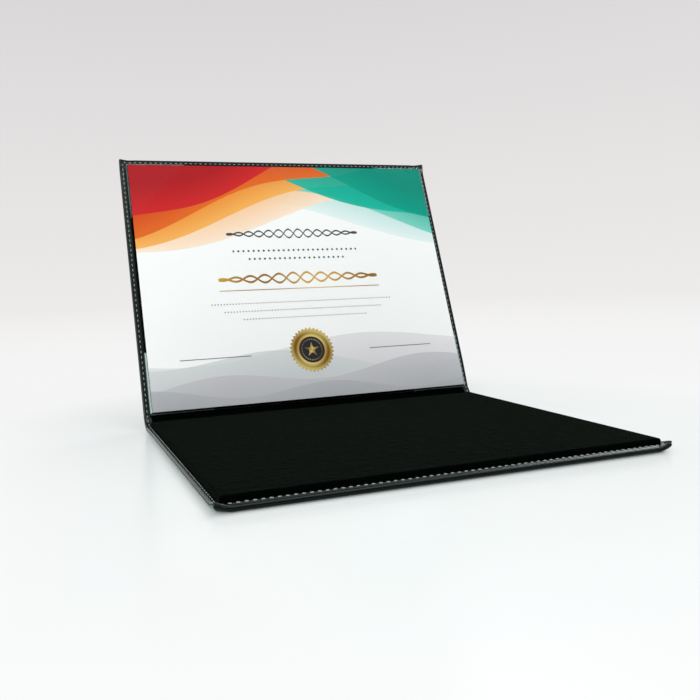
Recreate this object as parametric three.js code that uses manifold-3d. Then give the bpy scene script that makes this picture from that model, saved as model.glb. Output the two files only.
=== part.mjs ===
// Certificate holder: two padded leatherette halves joined by a soft spine, opened like a laptop.
// The lower half lies flat, the upper half leans back and shows a certificate under clear corners.
// Millimetres. X runs along the spine, -Y is the front and Z is up.
// The origin is the middle of the face that the lower half rests on.
import * as THREE from "three";
import { mergeVertices } from "three/addons/utils/BufferGeometryUtils.js";
import Module from "manifold-3d";

const wasm = await Module();
wasm.setup();

// The certificate and the bare lining round it
const CERTIFICATE_WIDTH = 279.4;
const CERTIFICATE_HEIGHT = 215.9;
const CERTIFICATE_THICKNESS = 0.3;
const CERTIFICATE_MARGIN = 1.2;

// The layers of one half, from the outside in
const LEATHER = 1.3;
const FOAM = 1.2;
const BOARD = 1.8;
const INNER_BOARD = 2.8;
const LINING = 0.9;

// The stitched edge on the three free sides of a half
const FLANGE = 5.2;
const HEM = 1.5;
const HEM_LAP = 4;
const SEAM_INSET = 3.6;
const THREAD_WIDTH = 0.8;
const THREAD_HEIGHT = 0.5;
const LIP_RISE = 2.2;

// The swelling of the padding from the seam, and how far the foam stops short of its board
const PAD_RISE = 11;
const FOAM_INSET = 3;

// The raised inner panel: its face's edge is rounded, and its corners a little more
const PANEL_EDGE_RADIUS = 2.4;
const PANEL_CORNER_EASE = 0.6;

// The clear corners
const FILM = 0.2;
const FILM_LEG = 50;
const FILM_GAP = 0.15;
const FILM_EDGE_RADIUS = 0.8;

// The spine and its two folds
const SPINE_LINING = 0.7;
const FOLD_GAP = 0.3;
const FOLD_CLEARANCE = 0.3;
const CLOSED_CLEARANCE = 0.5;
const OPENING_DEGREES = 110.7;

// Thin glue between stacked layers, and the gap between pieces that meet edge to edge
const GLUE = 0.1;
const JOIN_GAP = 0.3;

// Facets on curved stretches
const SWELL_STEPS = 6;
const LIP_STEPS = 2;
const CORNER_STEPS = 5;
const EDGE_STEPS = 3;

// Heights in a half, from the plane that it rests on
const CROWN = FOAM + BOARD + GLUE - HEM;
const FOLD_LEVEL = CROWN + LEATHER;
const HEM_BASE = FOLD_LEVEL + GLUE;
const HEM_FACE = HEM_BASE + HEM;
const BOARD_BASE = HEM_FACE - BOARD;
const INNER_BOARD_BASE = HEM_FACE + GLUE;
const INNER_BOARD_FACE = INNER_BOARD_BASE + INNER_BOARD;
const LINING_FACE = INNER_BOARD_FACE + GLUE + LINING;
const CERTIFICATE_BASE = LINING_FACE + GLUE;
const CERTIFICATE_FACE = CERTIFICATE_BASE + CERTIFICATE_THICKNESS;
const FILM_BASE = CERTIFICATE_FACE + GLUE;
const FILM_FACE = FILM_BASE + FILM;

// Plan sizes of a half: x runs along the spine, y is 0 at the fold and falls to the free edge
const PANEL_WIDTH = CERTIFICATE_WIDTH + 2 * CERTIFICATE_MARGIN;
const PANEL_HEIGHT = CERTIFICATE_HEIGHT + 2 * CERTIFICATE_MARGIN;
const FOLD_MARGIN = GLUE + SPINE_LINING + FOLD_CLEARANCE + FILM_GAP + FILM;
const HEM_MARGIN = GLUE + HEM + FOLD_CLEARANCE;
const HALF_WIDTH = PANEL_WIDTH + 2 * FLANGE;
const HALF_DEPTH = FOLD_MARGIN + PANEL_HEIGHT + FLANGE;
const HEM_WIDTH = FLANGE + HEM_LAP;
const BOARD_INSET = HEM_WIDTH + JOIN_GAP;
const PAD_START = SEAM_INSET + THREAD_WIDTH;
const COVER_BACK = -FOLD_GAP / 2;

// The spine spans two halves laid face to face on the certificate
const CLOSED_GAP = FILM_FACE - LINING_FACE + CLOSED_CLEARANCE;
const SPINE_LENGTH = 2 * (LINING_FACE - FOLD_LEVEL) + CLOSED_GAP;
const UPPER_TILT = THREE.MathUtils.degToRad(180 - OPENING_DEGREES);
const SPINE_TILT = UPPER_TILT / 2;

const leatherette = new THREE.MeshStandardMaterial({ color: 0x1a1d1c, roughness: 0.5, metalness: 0 });
const velvet = new THREE.MeshStandardMaterial({ color: 0x0b0d0c, roughness: 0.95, metalness: 0 });
const foam = new THREE.MeshStandardMaterial({ color: 0xd8d4c4, roughness: 1, metalness: 0 });
const greyboard = new THREE.MeshStandardMaterial({ color: 0x8c867c, roughness: 0.9, metalness: 0 });
const thread = new THREE.MeshStandardMaterial({ color: 0x8f9a97, roughness: 0.7, metalness: 0 });
const paper = new THREE.MeshStandardMaterial({ color: 0xf2f1ee, roughness: 0.6, metalness: 0 });
const clearFilm = new THREE.MeshStandardMaterial({
  color: 0xf4f8f8,
  roughness: 0.1,
  metalness: 0,
  transparent: true,
  opacity: 0.25,
});

// Solids and meshes

function solidOf(geometry) {
  const bare = geometry.clone();
  bare.deleteAttribute("normal");
  bare.deleteAttribute("uv");
  const merged = mergeVertices(bare, 1e-4);
  const vertProperties = merged.attributes.position.array;
  const triVerts = new Uint32Array(merged.index.array);
  return new wasm.Manifold(new wasm.Mesh({ numProp: 3, vertProperties, triVerts }));
}

function geometryOf(solid) {
  const mesh = solid.getMesh();
  const geometry = new THREE.BufferGeometry();
  geometry.setAttribute("position", new THREE.BufferAttribute(mesh.vertProperties, 3));
  geometry.setIndex(new THREE.BufferAttribute(mesh.triVerts, 1));
  return geometry;
}

function addMesh(group, name, geometry, material) {
  geometry.computeVertexNormals();
  const mesh = new THREE.Mesh(geometry, material.clone());
  mesh.name = name;
  group.add(mesh);
}

// A block between two corners, each given as [x, y, z]
function blockBetween(low, high) {
  const size = high.map((value, axis) => value - low[axis]);
  const block = new THREE.BoxGeometry(...size);
  return block.translate(...low.map((value, axis) => value + size[axis] / 2));
}

// A closed solid between two heights given over a grid of rising x and y stations
function sheetSolid(xs, ys, low, high) {
  const positions = [];
  for (const height of [low, high]) {
    for (const x of xs) {
      for (const y of ys) {
        positions.push(x, y, height(x, y));
      }
    }
  }
  const rows = ys.length;
  const layer = xs.length * rows;
  const faces = [];
  const quad = (a, b, c, d) => faces.push(a, b, c, a, c, d);
  for (let i = 0; i + 1 < xs.length; i++) {
    for (let j = 0; j + 1 < rows; j++) {
      const corner = i * rows + j;
      quad(corner, corner + 1, corner + rows + 1, corner + rows);
      quad(layer + corner, layer + corner + rows, layer + corner + rows + 1, layer + corner + 1);
    }
  }
  const wall = (a, b) => quad(a, b, layer + b, layer + a);
  for (let i = 0; i + 1 < xs.length; i++) {
    wall(i * rows, (i + 1) * rows);
    wall((i + 2) * rows - 1, (i + 1) * rows - 1);
  }
  for (let j = 0; j + 1 < rows; j++) {
    wall(j + 1, j);
    wall(layer - rows + j, layer - rows + j + 1);
  }
  const geometry = new THREE.BufferGeometry();
  geometry.setAttribute("position", new THREE.Float32BufferAttribute(positions, 3));
  geometry.setIndex(faces);
  return geometry;
}

// The outline of the raised panel, grown outwards
function panelOutline(grow) {
  const halfWidth = PANEL_WIDTH / 2 + grow;
  const back = -FOLD_MARGIN + grow;
  const front = -FOLD_MARGIN - PANEL_HEIGHT - grow;
  const radius = PANEL_EDGE_RADIUS + PANEL_CORNER_EASE + grow;
  const corners = [
    [halfWidth, back, 0],
    [-halfWidth, back, 1],
    [-halfWidth, front, 2],
    [halfWidth, front, 3],
  ];
  const points = [];
  for (const [x, y, quarter] of corners) {
    for (let step = 0; step <= CORNER_STEPS; step++) {
      const angle = ((quarter + step / CORNER_STEPS) * Math.PI) / 2;
      const centreX = x - Math.sign(x) * radius;
      const centreY = y === back ? y - radius : y + radius;
      points.push(new THREE.Vector2(centreX + radius * Math.cos(angle), centreY + radius * Math.sin(angle)));
    }
  }
  return new THREE.Shape(points);
}

// The raised panel as one block from base to face, grown outwards, with its face's edge rounded
function panelBlock(grow, edge, base, face) {
  const start = base - 2 * edge;
  const block = new THREE.ExtrudeGeometry(panelOutline(grow), {
    depth: face - edge - start,
    bevelThickness: edge,
    bevelSize: edge,
    bevelOffset: -edge,
    bevelSegments: EDGE_STEPS,
  });
  block.translate(0, 0, start);
  return solidOf(block).trimByPlane([0, 0, 1], base);
}

// Stations across a stretch that runs from one free edge to the other

function edgeStations() {
  const stations = [];
  for (let step = 0; step < LIP_STEPS; step++) {
    stations.push((SEAM_INSET * step) / LIP_STEPS);
  }
  stations.push(SEAM_INSET - THREAD_WIDTH / 2, SEAM_INSET + THREAD_WIDTH / 2, FLANGE);
  return stations;
}

function swellStations() {
  const stations = [];
  for (let step = 0; step <= SWELL_STEPS; step++) {
    stations.push(PAD_RISE * (1 - Math.cos((step / SWELL_STEPS) * (Math.PI / 2))));
  }
  return stations;
}

function rising(values) {
  const sorted = [...values].sort((a, b) => a - b);
  return sorted.filter((value, index) => index === 0 || value - sorted[index - 1] > GLUE);
}

function coverInsets() {
  return rising([...edgeStations(), ...swellStations().map((value) => PAD_START + value)]);
}

function acrossX(insets) {
  const left = insets.map((inset) => inset - HALF_WIDTH / 2);
  return rising([...left, ...left.map((x) => -x)]);
}

// Heights of the soft layers

function sideInset(x) {
  return HALF_WIDTH / 2 - Math.abs(x);
}

function frontInset(y) {
  return HALF_DEPTH + y;
}

// The side edges curl inwards
function lip(x) {
  const share = Math.max(0, 1 - sideInset(x) / FLANGE);
  return LIP_RISE * share * share;
}

function swell(distance) {
  const share = THREE.MathUtils.clamp(distance / PAD_RISE, 0, 1);
  return Math.sqrt(1 - (1 - share) * (1 - share));
}

// The outer face of the cover: the flange lies one crown above the plane that the padding rests on
function coverFace(x, y) {
  const sides = swell(sideInset(x) - PAD_START) * swell(frontInset(y) - PAD_START);
  return CROWN * (1 - sides * swell(COVER_BACK - y)) + lip(x);
}

function coverInside(x, y) {
  return coverFace(x, y) + LEATHER;
}

function outerCover() {
  const insets = coverInsets();
  const fromFront = insets.map((inset) => inset - HALF_DEPTH);
  const fromBack = swellStations().map((value) => COVER_BACK - value);
  return sheetSolid(acrossX(insets), rising([...fromFront, ...fromBack]), coverFace, coverInside);
}

function foamPad() {
  const inset = BOARD_INSET + FOAM_INSET;
  const front = inset - HALF_DEPTH;
  const back = -FOLD_MARGIN - FOAM_INSET;
  const insets = coverInsets().filter((value) => value > inset + GLUE);
  const fromFront = insets.map((value) => value - HALF_DEPTH);
  const fromBack = swellStations().map((value) => COVER_BACK - value);
  const ys = [...fromFront, ...fromBack].filter((y) => y > front + GLUE && y < back - GLUE);
  const base = (x, y) => coverInside(x, y) + GLUE;
  return sheetSolid(acrossX([inset, ...insets]), rising([front, ...ys, back]), base, () => BOARD_BASE - GLUE);
}

function stiffBoard() {
  const side = HALF_WIDTH / 2 - BOARD_INSET;
  return blockBetween(
    [-side, BOARD_INSET - HALF_DEPTH, BOARD_BASE],
    [side, -FOLD_MARGIN, HEM_FACE],
  );
}

function hem(xs, ys) {
  return sheetSolid(xs, ys, (x) => HEM_BASE + lip(x), (x) => HEM_FACE + lip(x));
}

function freeEdgeHem() {
  return hem(acrossX(edgeStations()), [-HALF_DEPTH, HEM_WIDTH - HALF_DEPTH]);
}

function sideHem(side) {
  const xs = [...edgeStations(), HEM_WIDTH].map((inset) => side * (HALF_WIDTH / 2 - inset));
  return hem(rising(xs), [HEM_WIDTH + JOIN_GAP - HALF_DEPTH, -HEM_MARGIN]);
}

// One thread runs down a side, along the free edge and up the other side, from one level up
function seamThread(level, sideLift) {
  const x = HALF_WIDTH / 2 - SEAM_INSET;
  const y = SEAM_INSET - HALF_DEPTH;
  const flatX = HALF_WIDTH / 2 - FLANGE;
  const route = [
    [-x, -HEM_MARGIN, sideLift],
    [-x, y, sideLift],
    [-flatX, y, 0],
    [flatX, y, 0],
    [x, y, sideLift],
    [x, -HEM_MARGIN, sideLift],
  ];
  return ribbon(route.map(([px, py, lift]) => new THREE.Vector3(px, py, level + lift)));
}

// A flat thread along a route: each corner is mitred in plan
function ribbon(route) {
  const positions = [];
  route.forEach((point, index) => {
    const before = route[Math.max(index - 1, 0)];
    const after = route[Math.min(index + 1, route.length - 1)];
    const heading = (a, b) => new THREE.Vector2(b.x - a.x, b.y - a.y).normalize();
    const first = index > 0 ? heading(before, point) : heading(point, after);
    const last = index < route.length - 1 ? heading(point, after) : first;
    const mitre = new THREE.Vector2(-first.y - last.y, first.x + last.x).normalize();
    const reach = THREAD_WIDTH / 2 / mitre.dot(new THREE.Vector2(-first.y, first.x));
    for (const [side, up] of [[1, 0], [-1, 0], [-1, 1], [1, 1]]) {
      positions.push(
        point.x + side * reach * mitre.x,
        point.y + side * reach * mitre.y,
        point.z + up * THREAD_HEIGHT,
      );
    }
  });
  const faces = [];
  const quad = (a, b, c, d) => faces.push(a, b, c, a, c, d);
  const last = 4 * (route.length - 1);
  for (let ring = 0; ring < last; ring += 4) {
    for (let side = 0; side < 4; side++) {
      const next = (side + 1) % 4;
      quad(ring + side, ring + 4 + side, ring + 4 + next, ring + next);
    }
  }
  quad(0, 1, 2, 3);
  quad(last + 3, last + 2, last + 1, last);
  const geometry = new THREE.BufferGeometry();
  geometry.setAttribute("position", new THREE.Float32BufferAttribute(positions, 3));
  geometry.setIndex(faces);
  return geometry;
}

// The raised panel and what it holds

function innerBoard() {
  const board = new THREE.ExtrudeGeometry(panelOutline(-LINING - GLUE), {
    depth: INNER_BOARD,
    bevelEnabled: false,
  });
  return board.translate(0, 0, INNER_BOARD_BASE);
}

// The lining wraps the face and the sides of the inner board
function liningWrap() {
  const pocket = new THREE.ExtrudeGeometry(panelOutline(-LINING), {
    depth: INNER_BOARD + GLUE + JOIN_GAP,
    bevelEnabled: false,
  });
  pocket.translate(0, 0, INNER_BOARD_BASE - JOIN_GAP);
  const wrapped = panelBlock(0, PANEL_EDGE_RADIUS, INNER_BOARD_BASE, LINING_FACE);
  return geometryOf(wrapped.subtract(solidOf(pocket)));
}

function certificateSheet() {
  const side = CERTIFICATE_WIDTH / 2;
  const back = -FOLD_MARGIN - CERTIFICATE_MARGIN;
  return blockBetween(
    [-side, back - CERTIFICATE_HEIGHT, CERTIFICATE_BASE],
    [side, back, CERTIFICATE_FACE],
  );
}

// Film bent over the face and sides of the raised panel, before it is cut into corners
function bentFilm() {
  const grow = FILM_GAP + FILM;
  const outside = panelBlock(grow, FILM_EDGE_RADIUS + FILM, INNER_BOARD_BASE, FILM_FACE);
  const inside = panelBlock(FILM_GAP, FILM_EDGE_RADIUS, INNER_BOARD_BASE - JOIN_GAP, FILM_BASE);
  return outside.subtract(inside);
}

// A right-angled triangle over one corner of the raised panel, with room for the film's sides
function cornerPrism(sideX, atFold) {
  const out = FILM_GAP + 2 * FILM;
  const x = (sideX * PANEL_WIDTH) / 2;
  const y = atFold ? -FOLD_MARGIN : -FOLD_MARGIN - PANEL_HEIGHT;
  const outY = atFold ? 1 : -1;
  const reach = FILM_LEG + out;
  const triangle = new THREE.Shape([
    new THREE.Vector2(x + sideX * out, y + outY * out),
    new THREE.Vector2(x - sideX * reach, y + outY * out),
    new THREE.Vector2(x + sideX * out, y - outY * reach),
  ]);
  return new THREE.ExtrudeGeometry(triangle, { depth: 2 * FILM_FACE, bevelEnabled: false });
}

function clearCorner(film, sideX, atFold) {
  return geometryOf(film.intersect(solidOf(cornerPrism(sideX, atFold))));
}

// A half, with y = 0 at its fold and z = 0 on the plane that its padding rests on.
// Turned end for end, its +x side is the left one.
function halfCover(name, freeEdge, turned) {
  const half = new THREE.Group();
  const sideName = (side) => (side < 0 === turned ? "right" : "left");
  addMesh(half, `${name}_outer_cover`, outerCover(), leatherette);
  addMesh(half, `${name}_foam_pad`, foamPad(), foam);
  addMesh(half, `${name}_board`, stiffBoard(), greyboard);
  addMesh(half, `${name}_${freeEdge}_hem`, freeEdgeHem(), leatherette);
  for (const side of [-1, 1]) {
    addMesh(half, `${name}_${sideName(side)}_hem`, sideHem(side), leatherette);
  }
  const threadOuterX = HALF_WIDTH / 2 - SEAM_INSET + THREAD_WIDTH / 2;
  const threadInnerX = threadOuterX - THREAD_WIDTH;
  const insideLevel = HEM_FACE + GLUE;
  const outsideLevel = CROWN - GLUE - THREAD_HEIGHT;
  addMesh(half, `${name}_inner_thread`, seamThread(insideLevel, lip(threadOuterX)), thread);
  addMesh(half, `${name}_outer_thread`, seamThread(outsideLevel, lip(threadInnerX)), thread);
  addMesh(half, `${name}_inner_board`, innerBoard(), greyboard);
  addMesh(half, `${name}_lining`, liningWrap(), velvet);
  return half;
}

function spine() {
  const group = new THREE.Group();
  const cover = blockBetween(
    [-HALF_WIDTH / 2, FOLD_GAP / 2, -LEATHER],
    [HALF_WIDTH / 2, SPINE_LENGTH - FOLD_GAP / 2, 0],
  );
  const gutter = blockBetween(
    [-PANEL_WIDTH / 2, FOLD_GAP, GLUE],
    [PANEL_WIDTH / 2, SPINE_LENGTH - FOLD_GAP, GLUE + SPINE_LINING],
  );
  addMesh(group, "spine_cover", cover, leatherette);
  addMesh(group, "spine_lining", gutter, velvet);
  const hemEnd = LIP_RISE + FOLD_CLEARANCE;
  const inner = PANEL_WIDTH / 2 + JOIN_GAP;
  const outer = HALF_WIDTH / 2;
  for (const [side, low, high] of [["left", -outer, -inner], ["right", inner, outer]]) {
    const patch = blockBetween([low, hemEnd, GLUE], [high, SPINE_LENGTH - hemEnd, GLUE + HEM]);
    addMesh(group, `spine_${side}_hem`, patch, leatherette);
  }
  return group;
}

function displayHalf() {
  const half = halfCover("upper", "top", true);
  addMesh(half, "certificate", certificateSheet(), paper);
  const film = bentFilm();
  for (const atFold of [true, false]) {
    for (const side of [-1, 1]) {
      const place = `${atFold ? "bottom" : "top"}_${side < 0 ? "right" : "left"}`;
      addMesh(half, `clear_corner_${place}`, clearCorner(film, side, atFold), clearFilm);
    }
  }
  return half;
}

// The assembly: the spine leans half as far as the upper half, which continues from its far fold

const lowerHalf = halfCover("lower", "front", false);
lowerHalf.position.set(0, HALF_DEPTH / 2, 0);

const spineStrip = spine();
spineStrip.position.set(0, HALF_DEPTH / 2, FOLD_LEVEL);
spineStrip.rotation.x = SPINE_TILT;

const turnedHalf = displayHalf();
turnedHalf.rotation.z = Math.PI;
turnedHalf.position.z = -FOLD_LEVEL;

const upperHalf = new THREE.Group();
upperHalf.position.set(0, SPINE_LENGTH * Math.cos(SPINE_TILT), SPINE_LENGTH * Math.sin(SPINE_TILT));
upperHalf.position.add(spineStrip.position);
upperHalf.rotation.x = UPPER_TILT;
upperHalf.add(turnedHalf);

const holder = new THREE.Group();
holder.add(lowerHalf, spineStrip, upperHalf);

export default holder;
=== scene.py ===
"""Looks of an open certificate holder.

It has padded leatherette halves with stitched edges, velvet panels and a printed sheet under clear corners.
The holder's sizes are millimetres, and become metres where a mesh is made. The camera, the stage and the
lights are in metres. A half has its own coordinates: x runs along the spine, u is the distance from its fold
and w is the height above the face that its padding rests on.
"""
import math
from typing import NamedTuple

import bmesh
import bpy
import numpy as np
from mathutils import Matrix, Vector


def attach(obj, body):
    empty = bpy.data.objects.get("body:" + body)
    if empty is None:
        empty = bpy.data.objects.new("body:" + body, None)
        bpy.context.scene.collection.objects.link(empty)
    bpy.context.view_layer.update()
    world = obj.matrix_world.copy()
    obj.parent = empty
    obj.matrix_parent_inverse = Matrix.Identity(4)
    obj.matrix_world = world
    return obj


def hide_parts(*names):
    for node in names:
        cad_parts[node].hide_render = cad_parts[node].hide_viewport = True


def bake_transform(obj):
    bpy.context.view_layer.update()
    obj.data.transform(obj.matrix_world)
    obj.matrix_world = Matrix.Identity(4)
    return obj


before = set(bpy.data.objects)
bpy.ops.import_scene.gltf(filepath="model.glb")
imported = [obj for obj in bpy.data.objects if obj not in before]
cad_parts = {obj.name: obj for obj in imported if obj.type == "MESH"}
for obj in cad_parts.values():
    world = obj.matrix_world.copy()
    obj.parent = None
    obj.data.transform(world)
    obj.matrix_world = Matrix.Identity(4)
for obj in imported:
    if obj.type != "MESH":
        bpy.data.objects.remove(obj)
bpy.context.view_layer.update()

MM = 0.001

# Plan of a half
HALF_WIDTH, HALF_DEPTH = 292.2, 224.95
PANEL_WIDTH, PANEL_HEIGHT = 281.8, 218.3
FOLD_MARGIN, FLANGE = 1.45, 5.2
HEM_WIDTH = 9.2
OUTLINE_RADIUS = 0.7
CERTIFICATE_WIDTH, CERTIFICATE_HEIGHT, CERTIFICATE_MARGIN = 279.4, 215.9, 1.2

# Layers of a half
LEATHER, CROWN, FOLD_LEVEL = 1.3, 1.6, 2.9
HEM_BASE, HEM_FACE = 3.0, 4.5
LINING_BASE, LINING_FACE = 4.6, 8.4
CERTIFICATE_BASE, CERTIFICATE_FACE = 8.5, 8.8
FILM_FACE, FILM, FILM_LEG = 9.1, 0.2, 50
GUTTER_BASE, GUTTER_FACE = 3.0, 3.7

# Stitched edge
SEAM_INSET, SEAM_START = 2.6, -6.1
FREE_SEAM_INSET = {"lower": 3.0, "upper": 2.4}
SIDE_STITCHES, FRONT_STITCHES = 52, 65
PAD_START, PAD_RISE = 4.4, 11
LIP_RISE, LIP_FADE = 0.9, 26
CORNER_LIP, CORNER_REACH, CORNER_WIDTH = 2.2, 10, 3.2
WELT, WELT_INSET, WELT_FADE = 1.1, 4.2, 2.2
WELT_END, WELT_END_FADE = 1, 7
TOP_TURN, TOP_TURN_START, TOP_TURN_REACH = {"lower": 0, "upper": 1.0}, 1, 14
HEM_FALL, HEM_SLOPE = {"lower": 0.37, "upper": 0}, 1.7
HEM_FALL_START, HEM_FALL_REACH = 1, 12
HEM_SWELL_INSET, HEM_SWELL_WIDTH = 3.6, 1.1
EDGE_ROLL, EDGE_LEVEL = {"lower": 0.9, "upper": 0.75}, {"lower": 3.1, "upper": 3.75}

# Spine
SPINE_LENGTH, SPINE_TILT, UPPER_TILT = 12.2, math.radians(34.65), math.radians(69.3)
FOLD_ZONE, SPINE_BULGE = 2.2, 1.5
FOLD_STEP, SPINE_STEP = 0.3, 1.15
FOLD_LOWER = np.array([0, HALF_DEPTH / 2, FOLD_LEVEL])
FOLD_UPPER = FOLD_LOWER + SPINE_LENGTH * np.array([0, math.cos(SPINE_TILT), math.sin(SPINE_TILT)])

NOISE_TABLE = 97


def smooth(t):
    t = np.clip(t, 0, 1)
    return t * t * (3 - 2 * t)


def bell(distance, width):
    return np.exp(-((distance / width) ** 2))


def noise(a, b, cell_a, cell_b, seed):
    """Smooth random heights from -1 to 1 over a plane, with cells of the given lengths."""
    table = np.random.default_rng(seed).uniform(-1, 1, (NOISE_TABLE, NOISE_TABLE))
    a, b = np.broadcast_arrays(a / cell_a, b / cell_b)
    low_a, low_b = np.floor(a).astype(int), np.floor(b).astype(int)
    share_a, share_b = smooth(a - low_a), smooth(b - low_b)

    def at(i, j):
        return table[(low_a + i) % NOISE_TABLE, (low_b + j) % NOISE_TABLE]

    first = at(0, 0) * (1 - share_a) + at(1, 0) * share_a
    last = at(0, 1) * (1 - share_a) + at(1, 1) * share_a
    return first * (1 - share_b) + last * share_b


# Places

def folded(points):
    """Bends what lies beyond the fold, at negative u, into the spine's lean, and rounds the spine out."""
    x, u, w = np.moveaxis(points, -1, 0)
    angle = SPINE_TILT * smooth((FOLD_ZONE - u) / (2 * FOLD_ZONE))
    v = w - FOLD_LEVEL - SPINE_BULGE * np.sin(math.pi * np.clip(-u / SPINE_LENGTH, 0, 1)) ** 2
    cos, sin = np.cos(angle), np.sin(angle)
    return np.stack([x, u * cos + v * sin, FOLD_LEVEL - u * sin + v * cos], -1)


def in_lower(points):
    x, u, w = np.moveaxis(points, -1, 0)
    return np.stack([x, HALF_DEPTH / 2 - u, w], -1)


def in_upper(points):
    x, u, w = np.moveaxis(points, -1, 0)
    cos, sin = math.cos(UPPER_TILT), math.sin(UPPER_TILT)
    v = w - FOLD_LEVEL
    return FOLD_UPPER + np.stack([x, u * cos - v * sin, u * sin + v * cos], -1)


def along_upper(u, w):
    """A direction in the upper half's own coordinates."""
    cos, sin = math.cos(UPPER_TILT), math.sin(UPPER_TILT)
    return (0, u * cos - w * sin, u * sin + w * cos)


PLACE = {"lower": in_lower, "upper": in_upper}


# Meshes

def quads(a, b, c, d):
    return np.stack([a.ravel(), b.ravel(), c.ravel(), d.ravel()], 1)


def grid_faces(index):
    """The faces of a grid of points, given by their numbers."""
    return quads(index[:-1, :-1], index[1:, :-1], index[1:, 1:], index[:-1, 1:])


def closed_sheet(top, bottom):
    """The points and faces of a sheet between two grids of points, closed all round."""
    rows, columns = top.shape[:2]
    over = np.arange(rows * columns).reshape(rows, columns)
    under = over + rows * columns
    faces = [
        grid_faces(over),
        quads(under[:-1, :-1], under[:-1, 1:], under[1:, 1:], under[1:, :-1]),
        quads(over[0, :-1], over[0, 1:], under[0, 1:], under[0, :-1]),
        quads(over[-1, 1:], over[-1, :-1], under[-1, :-1], under[-1, 1:]),
        quads(over[1:, 0], over[:-1, 0], under[:-1, 0], under[1:, 0]),
        quads(over[:-1, -1], over[1:, -1], under[1:, -1], under[:-1, -1]),
    ]
    return np.concatenate([top.reshape(-1, 3), bottom.reshape(-1, 3)]), np.concatenate(faces).tolist()


MERGE_DISTANCE, CREASE_ANGLE = 2e-6, math.radians(50)


def add_object(name, mesh, material):
    """A smooth object of one mesh and one material."""
    mesh.polygons.foreach_set("use_smooth", [True] * len(mesh.polygons))
    mesh.materials.append(material)
    added = bpy.data.objects.new(name, mesh)
    bpy.context.scene.collection.objects.link(added)
    return added


def make_piece(name, points, faces, material, merge=True):
    """A piece from points in millimetres. Merging joins points that meet, and keeps steep edges sharp."""
    mesh = bpy.data.meshes.new(name)
    mesh.from_pydata((points * MM).tolist(), [], faces)
    work = bmesh.new()
    work.from_mesh(mesh)
    if merge:
        bmesh.ops.remove_doubles(work, verts=work.verts, dist=MERGE_DISTANCE)
    bmesh.ops.recalc_face_normals(work, faces=work.faces)
    work.to_mesh(mesh)
    work.free()
    piece = add_object(name, mesh, material)
    if merge:
        mesh.set_sharp_from_angle(angle=CREASE_ANGLE)
    return piece


def make_folded(name, half, x, u, over, under, material):
    """A sheet of one half between two heights above its plan, bent round the fold."""
    layers = [PLACE[half](folded(np.stack([x, u, w], -1))) for w in (over, under)]
    return make_piece(name, *closed_sheet(*layers), material)


def stations(low, high, step):
    return np.linspace(low, high, max(2, round((high - low) / step) + 1))


def spine_stations():
    """The u of points from the middle of the spine to where its bend begins."""
    return stations(-SPINE_LENGTH / 2, -FOLD_ZONE, SPINE_STEP)[:-1]


# Materials

class Field:
    """A number that varies over a surface, made with shader maths."""

    def __init__(self, tree, socket):
        self.tree, self.socket = tree, socket

    def math(self, operation, *others, clamp=False):
        node = self.tree.nodes.new("ShaderNodeMath")
        node.operation, node.use_clamp = operation, clamp
        for slot, value in zip(node.inputs, (self, *others)):
            if isinstance(value, Field):
                self.tree.links.new(value.socket, slot)
            else:
                slot.default_value = value
        return Field(self.tree, node.outputs[0])

    def __add__(self, other):
        return self.math("ADD", other)

    def __sub__(self, other):
        return self.math("SUBTRACT", other)

    def __mul__(self, other):
        return self.math("MULTIPLY", other)

    def least(self, other):
        return self.math("MINIMUM", other)

    def most(self, other):
        return self.math("MAXIMUM", other)

    def size(self):
        return self.math("ABSOLUTE")

    def sine(self):
        return self.math("SINE")

    def ramp(self, low, high):
        """0 below low and 1 above high."""
        return (self - low).math("MULTIPLY", 1 / (high - low), clamp=True)


def mixed(tree, share, first, last):
    """A colour between two others, each a colour or a socket."""
    node = tree.nodes.new("ShaderNodeMix")
    node.data_type = "RGBA"
    tree.links.new(share.socket, node.inputs["Factor"])
    for slot, colour in zip((node.inputs[6], node.inputs[7]), (first, last)):
        if isinstance(colour, tuple):
            slot.default_value = (*colour, 1)
        else:
            tree.links.new(colour, slot)
    return node.outputs[2]


def axes_of(tree, vector):
    """The x, y and z of a vector socket."""
    node = tree.nodes.new("ShaderNodeSeparateXYZ")
    tree.links.new(vector, node.inputs[0])
    return [Field(tree, output) for output in node.outputs]


def ray_share(tree, *kinds):
    """1 for rays of the given kinds, and 0 for all others."""
    path = tree.nodes.new("ShaderNodeLightPath")
    share, *others = [Field(tree, path.outputs[f"Is {kind} Ray"]) for kind in kinds]
    for other in others:
        share = share.most(other)
    return share


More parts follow.
